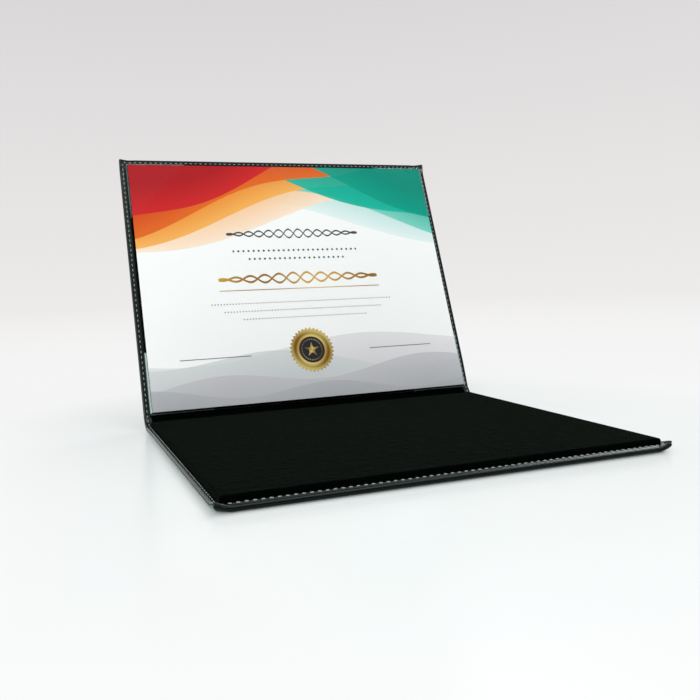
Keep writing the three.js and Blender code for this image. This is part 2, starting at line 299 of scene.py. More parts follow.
class Surface:
    """A procedural material with one principled shader."""

    def __init__(self, name, **values):
        self.material = bpy.data.materials.new(name)
        self.material.use_nodes = True
        self.tree = self.material.node_tree
        self.shader = self.tree.nodes["Principled BSDF"]
        for socket, value in values.items():
            self.shader.inputs[socket.replace("_", " ")].default_value = value
        self.place = self.tree.nodes.new("ShaderNodeTexCoord").outputs["Object"]

    def texture(self, kind, output, scale, place=None, **values):
        node = self.tree.nodes.new("ShaderNodeTex" + kind)
        self.tree.links.new(place or self.place, node.inputs["Vector"])
        node.inputs["Scale"].default_value = scale
        for socket, value in values.items():
            node.inputs[socket.replace("_", " ")].default_value = value
        return Field(self.tree, node.outputs[output])

    def stretched(self, x, y, z):
        node = self.tree.nodes.new("ShaderNodeMapping")
        node.inputs["Scale"].default_value = (x, y, z)
        self.tree.links.new(self.place, node.inputs["Vector"])
        return node.outputs["Vector"]

    def slant(self, axis):
        """How far the surface faces along an axis."""
        node = self.tree.nodes.new("ShaderNodeVectorMath")
        node.operation = "DOT_PRODUCT"
        node.inputs[1].default_value = axis
        self.tree.links.new(self.tree.nodes.new("ShaderNodeTexCoord").outputs["Normal"], node.inputs[0])
        return Field(self.tree, node.outputs["Value"])

    def mix(self, share, first, last):
        return mixed(self.tree, share, first, last)

    def drive(self, socket, value):
        self.tree.links.new(value.socket if isinstance(value, Field) else value, self.shader.inputs[socket])

    def bump(self, height, strength, distance):
        node = self.tree.nodes.new("ShaderNodeBump")
        node.inputs["Strength"].default_value = strength
        node.inputs["Distance"].default_value = distance
        self.tree.links.new(height.socket, node.inputs["Height"])
        self.tree.links.new(node.outputs["Normal"], self.shader.inputs["Normal"])


def leather_material(name, dark, pale, gloss, roughness, sheen, grain):
    s = Surface(
        name, Specular_IOR_Level=gloss, Specular_Tint=(0.86, 1, 0.97, 1),
        Sheen_Weight=sheen, Sheen_Roughness=0.35, Sheen_Tint=(0.45, 0.95, 0.85, 1),
    )
    cells = s.texture("Voronoi", "Distance", scale=950, Randomness=1)
    fine = s.texture("Noise", "Fac", scale=2600, Detail=3)
    patches = s.texture("Noise", "Fac", scale=45, Detail=4)
    creases = s.texture("Noise", "Fac", scale=160, place=s.stretched(1, 3, 3), Detail=5, Roughness=0.6)
    worn = patches.ramp(0.3, 0.7) * 0.4 + creases.ramp(0.4, 0.65) * 0.35 + cells.ramp(0.1, 0.6) * 0.25
    s.drive("Base Color", s.mix(worn, dark, pale))
    s.drive("Roughness", patches * 0.1 + fine * 0.06 + roughness)
    s.bump(cells.ramp(0, 0.7) * 0.7 + fine * 0.3 + creases * 2.4, strength=0.25, distance=grain)
    return s.material


def velvet_material():
    s = Surface(
        "velvet_lining", Roughness=0.95, Specular_IOR_Level=0,
        Sheen_Weight=0.024, Sheen_Roughness=0.35, Sheen_Tint=(0.74, 0.95, 0.77, 1),
    )
    pile = s.texture("Noise", "Fac", scale=4200, Detail=2)
    nap = s.texture("Noise", "Fac", scale=150, place=s.stretched(1, 2, 2), Detail=5, Roughness=0.65)
    share = nap.ramp(0.3, 0.75) * 0.7 + pile * 0.3
    s.drive("Base Color", s.mix(share, (0.0005, 0.001, 0.0007), (0.001, 0.002, 0.0014)))
    s.bump(pile * 0.1 + nap, strength=0.5, distance=0.0025)
    return s.material


def thread_material():
    s = Surface("thread", Roughness=0.62, Specular_IOR_Level=0.35, Sheen_Weight=0.2)
    fibres = s.texture("Noise", "Fac", scale=5200, Detail=3)
    s.drive("Base Color", s.mix(fibres.ramp(0.25, 0.75), (0.155, 0.196, 0.184), (0.33, 0.39, 0.372)))
    s.bump(fibres, strength=0.5, distance=0.0001)
    return s.material


def board_material():
    s = Surface("greyboard", Roughness=0.9)
    fibres = s.texture("Noise", "Fac", scale=900, Detail=4)
    s.drive("Base Color", s.mix(fibres.ramp(0.3, 0.7), (0.24, 0.22, 0.19), (0.34, 0.32, 0.28)))
    s.bump(fibres, strength=0.3, distance=0.0002)
    return s.material


def foam_material():
    s = Surface("foam", Roughness=1.0)
    pores = s.texture("Voronoi", "Distance", scale=1400)
    s.drive("Base Color", s.mix(pores.ramp(0, 0.6), (0.4, 0.38, 0.3), (0.68, 0.65, 0.54)))
    s.bump(pores, strength=0.6, distance=0.0003)
    return s.material


# Heights, in millimetres, of the painted reflection of the floor on the film: none above the first, full
# below the second.
FILM_FLOOR_REFLECTION_TOP, FILM_FLOOR_REFLECTION_FULL = 160, 100


def film_material():
    """Clear on the face. Its pale colour shows through the alpha as painted reflection: at its bends and
    where it turns away, paler near the fold, on faces turned up the half and to the right, and not on bends
    that face down.
    """
    s = Surface("clear_film", Roughness=0.08, Specular_IOR_Level=0.6)
    haze = s.texture("Noise", "Fac", scale=120, Detail=3)
    # This pale colour shows only where the alpha rises, as painted reflection.
    s.drive("Base Color", s.mix(haze.ramp(0.3, 0.7), (0.42, 0.54, 0.52), (0.5, 0.62, 0.6)))
    s.drive("Roughness", haze * 0.08 + 0.04)
    weight = s.tree.nodes.new("ShaderNodeLayerWeight")
    weight.inputs["Blend"].default_value = 0.5
    facing = Field(s.tree, weight.outputs["Facing"])
    seen = ray_share(s.tree, "Shadow", "Diffuse") * -1 + 1
    across, upward, outward = (s.slant(axis) for axis in ((1, 0, 0), along_upper(1, 0), along_upper(0, 1)))
    # Painted reflection: the alpha shows the pale colour more near the fold, where the film would mirror the
    # floor, on faces turned up the half and to the right, and at bends except those facing down. It stays
    # clear where two bends meet.
    low = axes_of(s.tree, s.place)[2].ramp(FILM_FLOOR_REFLECTION_TOP * MM, FILM_FLOOR_REFLECTION_FULL * MM)
    pale = low * 0.7 + upward.ramp(0.1, 0.5) * 0.4 + 0.12 + across.ramp(0.1, 0.5) * 0.8
    bend = (outward.size() * -1 + 1).ramp(0.03, 0.3) * upward.ramp(-0.5, -0.15) * 0.85
    cut = (across * upward).size().ramp(0.25, 0.45) * -0.96 + 1
    s.drive("Alpha", (facing.ramp(0.35, 0.9) * 0.9).most(bend) * pale * cut * seen + 0.004)
    return s.material


# Print on the sheet, in millimetres from the middle of its bottom edge

class Wave(NamedTuple):
    """A band of colour whose edge is a slanting wave. height is that of its edge at mid sheet."""

    height: float
    slope: float
    swing: float
    turn: float
    phase: float
    edge: tuple
    far: tuple
    strength: float


WARM_WAVES = [
    Wave(165, 0.17, 11, 0.021, 0.4, (253, 226, 198), (248, 190, 128), 0.85),
    Wave(181, 0.25, 9, 0.025, 1.5, (247, 176, 84), (232, 128, 24), 0.95),
    Wave(198, 0.31, 8, 0.029, 2.5, (226, 104, 34), (208, 66, 30), 0.97),
    Wave(216, 0.37, 7, 0.033, 0.9, (206, 36, 40), (172, 24, 32), 0.98),
]
COOL_WAVES = [
    Wave(169, -0.15, 10, 0.019, 2.1, (226, 242, 241), (176, 222, 216), 0.85),
    Wave(187, -0.23, 9, 0.024, 0.7, (120, 208, 192), (44, 178, 156), 0.95),
    Wave(203, -0.29, 7, 0.027, 3.2, (16, 180, 156), (8, 164, 142), 0.97),
    Wave(220, -0.36, 7, 0.031, 1.2, (6, 156, 134), (3, 140, 120), 0.98),
]
GREY_WAVES = [
    Wave(45, 0.03, 8, 0.022, 0.6, (226, 224, 226), (212, 210, 213), 0.8),
    Wave(34, -0.05, 8, 0.028, 2.3, (208, 212, 213), (196, 200, 202), 0.75),
    Wave(22, 0.04, 6, 0.034, 4.4, (194, 192, 196), (178, 178, 182), 0.75),
    Wave(9, -0.02, 5, 0.04, 1.0, (178, 180, 183), (160, 162, 166), 0.8),
]
SLATE, GOLD, PALE_GOLD, DEEP_GOLD = (72, 74, 80), (206, 164, 62), (240, 216, 132), (150, 104, 30)
SEAL_PLACE, SEAL_RADIUS, SEAL_TEETH, SEAL_TOOTH = (0, 42), 19, 34, 0.8
SEAL_INK, SEAL_DISC, SEAL_BAND, SEAL_RIDGES = (36, 40, 48), 11.6, 17, 2.2
SEAL_BEADS, BEAD_RING, BEAD_RADIUS = 28, 9.2, 0.55
STAR_REACH, STAR_WAIST = 6.4, 0.382
PAPER_TONES, FINE_INK = ((248, 248, 247), (252, 252, 251)), (96, 98, 102)
BLUR, WAVE_FADE = 0.12, 26


def tone(colour):
    """A written 8-bit colour as the shader takes it."""
    share = [value / 255 for value in colour]
    return tuple(v / 12.92 if v <= 0.04045 else ((v + 0.055) / 1.055) ** 2.4 for v in share)


def wave_edge(x, wave):
    return (x * wave.turn + wave.phase).sine() * wave.swing + x * wave.slope + wave.height


def paint_wave(s, colour, depth, wave):
    """Lays one wave over a colour. depth is the distance in from its edge."""
    inside = s.mix(depth.ramp(0, WAVE_FADE), tone(wave.edge), tone(wave.far))
    return s.mix(depth.ramp(-BLUR, BLUR) * wave.strength, colour, inside)


def braid(x, y, height, half_length, swing, turn, width):
    """Two thin waves that cross each other along a line and taper out at its ends."""
    taper = (x.size() * (-1 / half_length) + 1).math("POWER", 0.6, clamp=True) * swing
    rise = (x * turn).sine() * taper
    off = y - height
    line = (off - rise).size().least((off + rise).size())
    return (line * -1 + width).ramp(-BLUR, BLUR) * (x.size() * -1 + half_length).ramp(0, 0.5)


def rule(x, y, height, middle, half_length, width):
    inside = ((x - middle).size() * -1 + half_length).least((y - height).size() * -1 + width)
    return inside.ramp(-BLUR, BLUR)


def lozenges(x, y, height, half_length, pitch, size):
    """A row of small diamonds."""
    along = ((x * (1 / pitch)).math("FRACT") - 0.5).size() * pitch
    inside = (along + (y - height).size()) * -1 + size
    return inside.ramp(-BLUR, BLUR) * (x.size() * -1 + half_length).ramp(-BLUR, BLUR)


def star(radius, angle, reach):
    """A five-pointed star, with one point up."""
    fifth = 2 * math.pi / 5
    turned = (angle * (1 / fifth) + 0.5).math("FRACT") - 0.5
    slant = turned.size() * fifth
    inner = STAR_WAIST * reach
    corner = (inner * math.cos(fifth / 2), inner * math.sin(fifth / 2))
    normal = (corner[1], reach - corner[0])
    length = math.hypot(*normal)
    over = (radius * slant.math("COSINE") - reach) * (normal[0] / length)
    inside = (over + radius * slant.sine() * (normal[1] / length)) * -1
    return inside.ramp(-BLUR, BLUR)


def paint_seal(s, colour, x, y):
    """A foil seal with a toothed rim, a dark disc, a ring of beads and a star.

    Returns the colour, the share of foil and its relief.
    """
    off_x, off_y = x - SEAL_PLACE[0], y - SEAL_PLACE[1]
    radius = (off_x * off_x + off_y * off_y).math("SQRT")
    angle = off_x.math("ARCTAN2", off_y)
    rim = (angle * SEAL_TEETH).sine() * SEAL_TOOTH + SEAL_RADIUS
    body = (radius * -1 + rim).ramp(-BLUR, BLUR)
    disc = (radius * -1 + SEAL_DISC).ramp(-BLUR, BLUR)
    bead_pitch = 2 * math.pi / SEAL_BEADS
    along = ((angle * (1 / bead_pitch)).math("FRACT") - 0.5) * bead_pitch * radius
    away = radius - BEAD_RING
    beads = ((along * along + away * away).math("SQRT") * -1 + BEAD_RADIUS).ramp(-BLUR, BLUR)
    emblem = beads.most(star(radius, angle, STAR_REACH))
    foil = body.least((disc * -1 + 1).most(emblem))
    gleam = (angle * 2 + 0.7).sine() * 0.32 + (radius * 1.15).sine() * 0.3 + 0.5
    gold = s.mix(gleam.math("MULTIPLY", 1, clamp=True), tone(DEEP_GOLD), tone(PALE_GOLD))
    colour = s.mix(body, colour, tone(SEAL_INK))
    band = (radius * -1 + SEAL_BAND).ramp(0, 1) * (radius - SEAL_DISC).ramp(0, 1)
    relief = (radius * SEAL_RIDGES).sine() * band
    return s.mix(foil, colour, gold), foil, relief * foil + foil


def paper_material():
    s = Surface("certificate_paper", Roughness=0.5, Specular_IOR_Level=0.12)
    x, y = (place * (1 / MM) for place in axes_of(s.tree, s.place)[:2])
    grain = s.texture("Noise", "Fac", scale=2200, Detail=3)
    colour = s.mix(grain.ramp(0.35, 0.65), *(tone(colour) for colour in PAPER_TONES))
    for cool, warm in zip(COOL_WAVES, WARM_WAVES):
        colour = paint_wave(s, colour, y - wave_edge(x, cool), cool)
        colour = paint_wave(s, colour, y - wave_edge(x, warm), warm)
    for wave in GREY_WAVES:
        colour = paint_wave(s, colour, wave_edge(x, wave) - y, wave)
    slate = braid(x, y, height=150, half_length=62, swing=4.2, turn=0.34, width=0.75)
    for height, half_length in ((134, 58), (126.5, 46)):
        slate = slate.most(lozenges(x, y, height, half_length, pitch=4.6, size=1.25))
    colour = s.mix(slate, colour, tone(SLATE))
    fine = rule(x, y, height=40, middle=-84, half_length=30, width=0.35)
    fine = fine.most(rule(x, y, height=40, middle=84, half_length=30, width=0.35))
    for height, half_length in ((86, 84), (79, 72), (72, 58)):
        fine = fine.most(lozenges(x, y, height, half_length, pitch=2.6, size=0.7))
    colour = s.mix(fine, colour, tone(FINE_INK))
    shimmer = (x * 0.06 + 0.6).sine() * 0.5 + 0.5
    gold = s.mix(shimmer, tone(DEEP_GOLD), tone(GOLD))
    title = braid(x, y, height=108, half_length=74, swing=5.0, turn=0.24, width=1.0)
    title = title.most(rule(x, y, height=98, middle=0, half_length=74, width=0.4))
    colour = s.mix(title, colour, gold)
    colour, foil, relief = paint_seal(s, colour, x, y)
    s.drive("Base Color", colour)
    s.drive("Metallic", foil * 0.75)
    s.drive("Roughness", foil * -0.22 + 0.5)
    s.bump(relief * 0.6 + grain * 0.15, strength=0.4, distance=0.0002)
    return s.material


COVER_LOOK = leather_material(
    "leatherette", dark=(0.0012, 0.0018, 0.0016), pale=(0.0062, 0.0083, 0.0075),
    gloss=0.1, roughness=0.2, sheen=0.42, grain=0.0004,
)
HEM_LOOK = leather_material(
    "leatherette_hem", dark=(0.0016, 0.0023, 0.0021), pale=(0.0032, 0.0043, 0.0039),
    gloss=0.46, roughness=0.12, sheen=0, grain=0.00006,
)
VELVET_LOOK = velvet_material()
THREAD_LOOK = thread_material()
FILM_LOOK = film_material()
PAPER_LOOK = paper_material()
BOARD_LOOK = board_material()
FOAM_LOOK = foam_material()


# Shape of the stitched edge

def rounded_corner(side, end, radius):
    """Insets from two edges with their square corner drawn round, and the inset from the round outline."""
    a, b = np.clip(1 - side / radius, 0, 1), np.clip(1 - end / radius, 0, 1)
    both = (a > 0) & (b > 0)
    new_a, new_b = a * np.sqrt(1 - b * b / 2), b * np.sqrt(1 - a * a / 2)
    edge = np.where(both, radius * (1 - np.hypot(new_a, new_b)), np.minimum(side, end))
    side = np.where(both, radius * (1 - new_a), side)
    end = np.where(both, radius * (1 - new_b), end)
    return side, end, np.maximum(edge, 0)


def rounded_plan(x, u):
    """The plan of a half with round free corners: x, u and the insets from side, free edge and outline."""
    side, front, edge = rounded_corner(HALF_WIDTH / 2 - np.abs(x), HALF_DEPTH - u, OUTLINE_RADIUS)
    return np.sign(x) * (HALF_WIDTH / 2 - side), HALF_DEPTH - front, side, front, edge


def rolled(edge, radius):
    """How far a rounded edge falls back from the face."""
    t = np.clip(1 - edge / radius, 0, 1)
    return radius * (1 - np.sqrt(1 - t * t))


def lip(half, side, front):
    """How far the edge turns up from flat: a little at the sides and the top, more at the free corners."""
    sides = LIP_RISE * smooth((HALF_DEPTH - front) / LIP_FADE) * np.clip(1 - side / FLANGE, 0, 1) ** 2
    hook = smooth(1 - np.minimum(side, front) / CORNER_WIDTH)
    corner = CORNER_LIP * smooth(1 - np.hypot(side, front) / CORNER_REACH) * hook
    top = np.clip(1 - front / FLANGE, 0, 1) * smooth((side - TOP_TURN_START) / TOP_TURN_REACH)
    return sides + corner + TOP_TURN[half] * top


def welt(side, front):
    """How much thicker the leather is beyond the seam, where it turns round the edge. The spine is thin."""
    turned = smooth((WELT_INSET - np.minimum(side, front)) / WELT_FADE)
    return WELT * turned * smooth((HALF_DEPTH - front - WELT_END) / WELT_END_FADE)


def hem_slope(half, side, front):
    """The hem of the lower half's free edge: a swelling along the seam and a slope down to the edge."""
    slope = np.clip(FREE_SEAM_INSET[half] - front, 0, HEM_SLOPE)
    swelling = bell(front - HEM_SWELL_INSET, HEM_SWELL_WIDTH)
    return HEM_FALL[half] * (swelling - slope) * smooth((side - HEM_FALL_START) / HEM_FALL_REACH)


# Padding: leather held at its needle holes and at the fold, and blown up from behind. The solver suits cloth
# of some metres, so there a millimetre is taken as a centimetre.

SIM_SCALE, SIM_FRAMES, SIM_ROUGH = 0.01, 14, 0.05
PAD_FOLD, PAD_STITCHES = 0.15, 50
SLACK, PRESSURE = 0.012, 3
PUCKER_REACH = 1.5

# Seam and surface of the leather: how deep each form sinks, and the lengths over which it varies

ROW_WIDTH, HOLE_WIDTH, PUCKER_FADE = 1.1, 0.9, 3.2
ROW_DEPTH, HOLE_DEPTH, PUCKER_DEPTH = 0.26, 0.2, 0.1
HEM_ROW_DEPTH, HEM_HOLE_DEPTH = 0.04, 0.12
GATHER_DEPTH, GATHER_FADE, GATHER_CELL = 0.1, 16, (3.4, 22)
CREASE_DEPTH, CREASE_LEVEL, CREASE_CELL = 0.02, 1.6, (4.2, 46)
FINE_CREASE_SHARE, FINE_CREASE_CELL = 0.6, (2.9, 30)
SAG_DEPTH, SAG_CELL = 0.06, (38, 30)


def blown_leather(seed):
    """The x and u of a grid, and the heights that the blown leather has there."""
    xs = np.linspace(PAD_START - HALF_WIDTH / 2, HALF_WIDTH / 2 - PAD_START, 2 * FRONT_STITCHES + 1)
    us = np.linspace(PAD_FOLD, HALF_DEPTH - PAD_START, 2 * PAD_STITCHES + 1)
    x, u = np.meshgrid(xs, us, indexing="ij")
    rough = np.random.default_rng(seed).uniform(0, SIM_ROUGH, x.shape)
    index = np.arange(x.size).reshape(x.shape)
    faces = grid_faces(index)
    mesh = bpy.data.meshes.new("blank")
    points = np.stack([x, u, rough], -1).reshape(-1, 3) * SIM_SCALE
    mesh.from_pydata(points.tolist(), [], faces.tolist())
    blank = bpy.data.objects.new("blank", mesh)
    bpy.context.scene.collection.objects.link(blank)
    held = np.concatenate([index[:, 0], index[::2, -1], index[0, ::2], index[-1, ::2]])
    blank.vertex_groups.new(name="held").add(held.tolist(), 1.0, "REPLACE")
    cloth = blank.modifiers.new("leather", "CLOTH")
    cloth.settings.vertex_group_mass = "held"
    cloth.settings.quality = 4
    cloth.settings.tension_stiffness = cloth.settings.compression_stiffness = 20
    cloth.settings.shear_stiffness = 10
    cloth.settings.bending_stiffness = 0.6
    cloth.settings.shrink_min = -SLACK
    cloth.settings.use_pressure = True
    cloth.settings.uniform_pressure_force = PRESSURE
    cloth.settings.effector_weights.gravity = 0
    cloth.collision_settings.use_collision = False
    cloth.point_cache.frame_start, cloth.point_cache.frame_end = 1, SIM_FRAMES
    for number in range(1, SIM_FRAMES + 1):
        bpy.context.scene.frame_set(number)
    blown = blank.evaluated_get(bpy.context.evaluated_depsgraph_get()).data
    places = np.empty(3 * x.size)
    blown.vertices.foreach_get("co", places)
    bpy.data.objects.remove(blank)
    bpy.data.meshes.remove(mesh)
    bpy.context.scene.frame_set(1)
    return xs, us, places.reshape(*x.shape, 3)[..., 2] / SIM_SCALE


def grid_place(at, grid):
    """Where a value lies on an even grid, in cells from its start, kept inside the last cell."""
    return np.clip((at - grid[0]) / (grid[1] - grid[0]), 0, len(grid) - 1.001)


def padding_share(x, side, front, u, seed):
    """How far the padding fills each point, from 0 at the seams to 1 where flat foam stops the leather."""
    xs, us, heights = blown_leather(seed)
    along, up = grid_place(x, xs), grid_place(u, us)
    i, j = along.astype(int), up.astype(int)
    a, b = along - i, up - j
    low = heights[i, j] * (1 - a) + heights[i + 1, j] * a
    high = heights[i, j + 1] * (1 - a) + heights[i + 1, j + 1] * a
    height = np.maximum(low * (1 - b) + high * b, 0)
    seam = np.minimum(np.minimum(side, front) - PAD_START, u - PAD_FOLD)
    return np.tanh(height / CROWN) * smooth(seam / PUCKER_REACH + 1)


def seam_pull(half, x, side, front, u):
    """Where the seam draws the leather in: along the whole row, and more at each needle hole."""
    free_inset = FREE_SEAM_INSET[half]
    side_pitch = (HALF_DEPTH - free_inset - SEAM_START) / SIDE_STITCHES
    front_pitch = (HALF_WIDTH - 2 * SEAM_INSET) / FRONT_STITCHES
    on_side, on_front = smooth(front - free_inset + 1), smooth(side - SEAM_INSET + 1)
    side_hole = 0.5 + 0.5 * np.cos(2 * math.pi * (u - SEAM_START) / side_pitch)
    front_hole = 0.5 + 0.5 * np.cos(2 * math.pi * (x + HALF_WIDTH / 2 - SEAM_INSET) / front_pitch)
    row = np.maximum(
        on_side * bell(side - SEAM_INSET, ROW_WIDTH), on_front * bell(front - free_inset, ROW_WIDTH)
    )
    hole = np.maximum(
        on_side * bell(side - SEAM_INSET, HOLE_WIDTH) * side_hole,
        on_front * bell(front - free_inset, HOLE_WIDTH) * front_hole,
    )
    pucker = np.maximum(
        on_side * side_hole * np.exp(-np.maximum(side - SEAM_INSET, 0) / PUCKER_FADE),
        on_front * front_hole * np.exp(-np.maximum(front - free_inset, 0) / PUCKER_FADE),
    )
    return row, hole, pucker


EDGE_INSETS = [0, 0.03, 0.12, 0.3, 0.65, 1.1, 1.7, 2.2, 2.6, 3.0, 3.4, 3.9, 4.5, 5.2, 6.2]
COVER_STEP = 1.46


def cover_face(half, x, side, front, u, seed):
    """Height of the padded outer face above the plane it rests on, leaving out the welt."""
    padding = padding_share(x, side, front, u, seed)
    row, hole, pucker = seam_pull(half, x, side, front, u)
    seam = np.minimum(side, front)
    near = np.exp(-np.maximum(seam - PAD_START, 0) / GATHER_FADE) * (seam > PAD_START)
    gathers = np.where(
        side < front, noise(u, side, *GATHER_CELL, seed), noise(x, front, *GATHER_CELL, seed + 1)
    )
    creases = noise(u, x, *CREASE_CELL, seed + 2)
    creases = creases + FINE_CREASE_SHARE * noise(u, x, *FINE_CREASE_CELL, seed + 3)
    sag = SAG_DEPTH * (1 + noise(x, u, *SAG_CELL, seed + 4))
    uneven = GATHER_DEPTH * near * (1 + gathers) + CREASE_DEPTH * (CREASE_LEVEL + creases) + sag
    sunk = ROW_DEPTH * row + HOLE_DEPTH * hole + PUCKER_DEPTH * pucker * (seam > SEAM_INSET)
    return CROWN * (1 - padding) + sunk + padding * uneven + lip(half, side, front)


def make_cover(half, seed):
    """The leather of one half, on round its fold to the middle of the spine."""
    inner = EDGE_INSETS[-1]
    lines = stations(inner - HALF_WIDTH / 2, HALF_WIDTH / 2 - inner, COVER_STEP)
    left = np.array(EDGE_INSETS[:-1]) - HALF_WIDTH / 2
    xs = np.concatenate([left, lines, -left[::-1]])
    fold = [*spine_stations(), *stations(-FOLD_ZONE, FOLD_ZONE, FOLD_STEP)[:-1]]
    body = stations(FOLD_ZONE, HALF_DEPTH - inner, COVER_STEP)
    us = np.concatenate([fold, body, HALF_DEPTH - np.array(EDGE_INSETS[:-1][::-1])])
    x, u, side, front, edge = rounded_plan(*np.meshgrid(xs, us, indexing="ij"))
    face, thicker = cover_face(half, x, side, front, u, seed), welt(side, front)
    round_edge = rolled(edge, (LEATHER + WELT) / 2)
    inside, outside = face + LEATHER - round_edge, face - thicker + round_edge
    return make_folded(half + "_cover_leather", half, x, u, inside, outside, COVER_LOOK)


def make_hem(name, half, along, insets, at):
    """A turned strip of leather with a rolled edge. at(along, inset) gives x and u."""
    x, u, side, front, edge = rounded_plan(*at(*np.meshgrid(along, insets, indexing="ij")))
    row, hole, _ = seam_pull(half, x, side, front, u)
    roll, level = EDGE_ROLL[half], EDGE_LEVEL[half]
    turned = rolled(edge, roll) / roll
    rise, slope = lip(half, side, front), hem_slope(half, side, front)
    base = HEM_BASE + turned * (level - HEM_BASE) + rise
    face = HEM_FACE + slope - turned * (HEM_FACE + slope - level) + rise
    face = face - HEM_ROW_DEPTH * row - HEM_HOLE_DEPTH * hole
    return make_folded(name, half, x, u, face, base, HEM_LOOK)


HEM_INSETS = np.array(
    [0, 0.03, 0.12, 0.3, 0.55, 0.75, 1.1, 1.6, 2.0, 2.4, 2.7, 3.0, 3.3, 3.6, 4.1, 4.6, 5.2, 6.2, HEM_WIDTH]
)
SIDE_HEM_STEP, FRONT_HEM_STEP = 1.1, 2.2
TAIL_WIDTH, TAIL_START, TAIL_REACH = 0.3, 2, 4
MITRE = 0.04


def make_side_hem(name, half, sign):
    back = -SPINE_LENGTH / 2
    share = stations(0, 1, SIDE_HEM_STEP / (HALF_DEPTH - back))

    def at(t, inset):
        u = back + (HALF_DEPTH - inset - MITRE - back) * t
        tail = TAIL_WIDTH + (HEM_WIDTH - FLANGE - TAIL_WIDTH) * smooth((u - TAIL_START) / TAIL_REACH)
        inset = np.where(inset > FLANGE, FLANGE + (inset - FLANGE) * tail / (HEM_WIDTH - FLANGE), inset)
        return sign * (HALF_WIDTH / 2 - inset), u

    return make_hem(name, half, share, HEM_INSETS, at)


def make_front_hem(name, half):
    share = stations(-1, 1, FRONT_HEM_STEP / HALF_WIDTH)

    def at(t, inset):
        return t * (HALF_WIDTH / 2 - inset - MITRE), HALF_DEPTH - inset

    return make_hem(name, half, share, HEM_INSETS, at)


# Stitches

STITCH_RING, STITCH_STEPS = 8, 9
THREAD_RADIUS, THREAD_FLATNESS = 0.42, 0.85
STITCH_RISE, STITCH_DIP, STITCH_SINK = 0.34, 1.9, 0.2
STITCH_REACH, STITCH_TAPER = 0.32, 0.92
STITCH_SWAY, STITCH_LIFT = 0.12, (0.9, 1.12)
TWIST, TWIST_TURN = 0.1, 2.6
INNER_SEAT, OUTER_SEAT = 0.3, 0.36
STITCH_LEVEL = {"inner": HEM_FACE - INNER_SEAT, "outer": CROWN + OUTER_SEAT}


def seam_route(half):
    """Needle holes round the three free sides, as x and u."""
    free = HALF_DEPTH - FREE_SEAM_INSET[half]
    side = np.linspace(SEAM_START, free, SIDE_STITCHES + 1)
    front = np.linspace(SEAM_INSET - HALF_WIDTH / 2, HALF_WIDTH / 2 - SEAM_INSET, FRONT_STITCHES + 1)
    edge = HALF_WIDTH / 2 - SEAM_INSET
    left = [(-edge, u) for u in side]
    middle = [(x, free) for x in front[1:-1]]
    right = [(edge, u) for u in side[::-1]]
    return np.array(left + middle + right)


def make_stitches(name, half, outward, level, seed):
    """One row of stitches. Each is a twisted thread that rises out of one hole and dips into the next."""
    holes = seam_route(half)
    count = len(holes) - 1
    rng = np.random.default_rng(seed)
    sway = rng.uniform(-STITCH_SWAY, STITCH_SWAY, count)
    lift = rng.uniform(*STITCH_LIFT, count)
    start, end = holes[:-1], holes[1:]
    length = np.linalg.norm(end - start, axis=1)
    heading = (end - start) / length[:, None]
    across = np.stack([-heading[:, 1], heading[:, 0]], 1)
    t = np.linspace(-1, 1, STITCH_STEPS)
    ring = np.linspace(0, 2 * math.pi, STITCH_RING, endpoint=False)
    reach = STITCH_REACH * length
    middle = (start + end) / 2 + across * sway[:, None] * 0.5
    line = middle[:, None, :] + heading[:, None, :] * (t[None, :] * reach[:, None])[..., None]
    line = line + across[:, None, :] * (sway[:, None] * t[None, :])[..., None]
    height = STITCH_RISE * lift[:, None] * (1 - STITCH_DIP * t[None, :] ** 4)
    thick = THREAD_RADIUS * np.sqrt(np.clip(1 - np.abs(t) ** 5 * STITCH_TAPER, 0, 1))
    twist = 1 + TWIST * np.cos(2 * (ring[None, :] - TWIST_TURN * t[:, None]))
    wide = np.cos(ring)[None, :] * thick[:, None] * twist
    high = np.sin(ring)[None, :] * thick[:, None] * twist * THREAD_FLATNESS
    plan = line[:, :, None, :] + across[:, None, None, :] * wide[None, :, :, None]
    x, u = plan[..., 0], plan[..., 1]
    side, front = HALF_WIDTH / 2 - np.abs(x), HALF_DEPTH - u
    rise = lip(half, side, front) + (hem_slope(half, side, front) if outward > 0 else -welt(side, front))
    w = level + rise + outward * (height[:, :, None] - STITCH_SINK + high[None, :, :])
    points = PLACE[half](folded(np.stack([x, u, w], -1))).reshape(-1, 3)
    index = np.arange(len(points)).reshape(count, STITCH_STEPS, STITCH_RING)
    turn = np.roll(index, -1, axis=2)
    faces = quads(index[:, :-1], index[:, 1:], turn[:, 1:], turn[:, :-1]).tolist()
    faces += index[:, 0].tolist() + index[:, -1, ::-1].tolist()
    return make_piece(name, points, faces, THREAD_LOOK, merge=False)


# Raised panels

PANEL_RADIUS, PANEL_EDGE = 1.4, 1.7
PANEL_SPREAD = {"lower": 0.9, "upper": 0}
PANEL_STEP, PANEL_ARC, PANEL_FIRST = 4.5, 8, 0.8
PANEL_WAVE, PANEL_WAVE_CELL = 0.06, (33, 27)
PANEL_WAVE_INSET, PANEL_WAVE_FADE = 1, 8
FILM_GROW, FILM_EDGE, FILM_STEP, FILM_SPARE, FILM_GAP = 0.35, 2.1, 3.2, 4, 0.1
SHEET_STEP, GUTTER_STEP, GUTTER_GAP = 10, 12, 0.1


def panel_stations(reach, drop, edge, step):
    """Insets from one side of a panel, and how far each lies below its face: wall, rounded edge and face."""
    wall = [(0.0, drop), (0.0, (drop + edge) / 2), (0.0, edge)]
    arc = [(edge * (1 - math.cos(a)), 0.0) for a in np.linspace(0, math.pi / 2, PANEL_ARC)[1:]]
    flat = [(inset, 0.0) for inset in stations(edge + PANEL_FIRST, reach, step)]
    return np.array(wall + arc + flat)


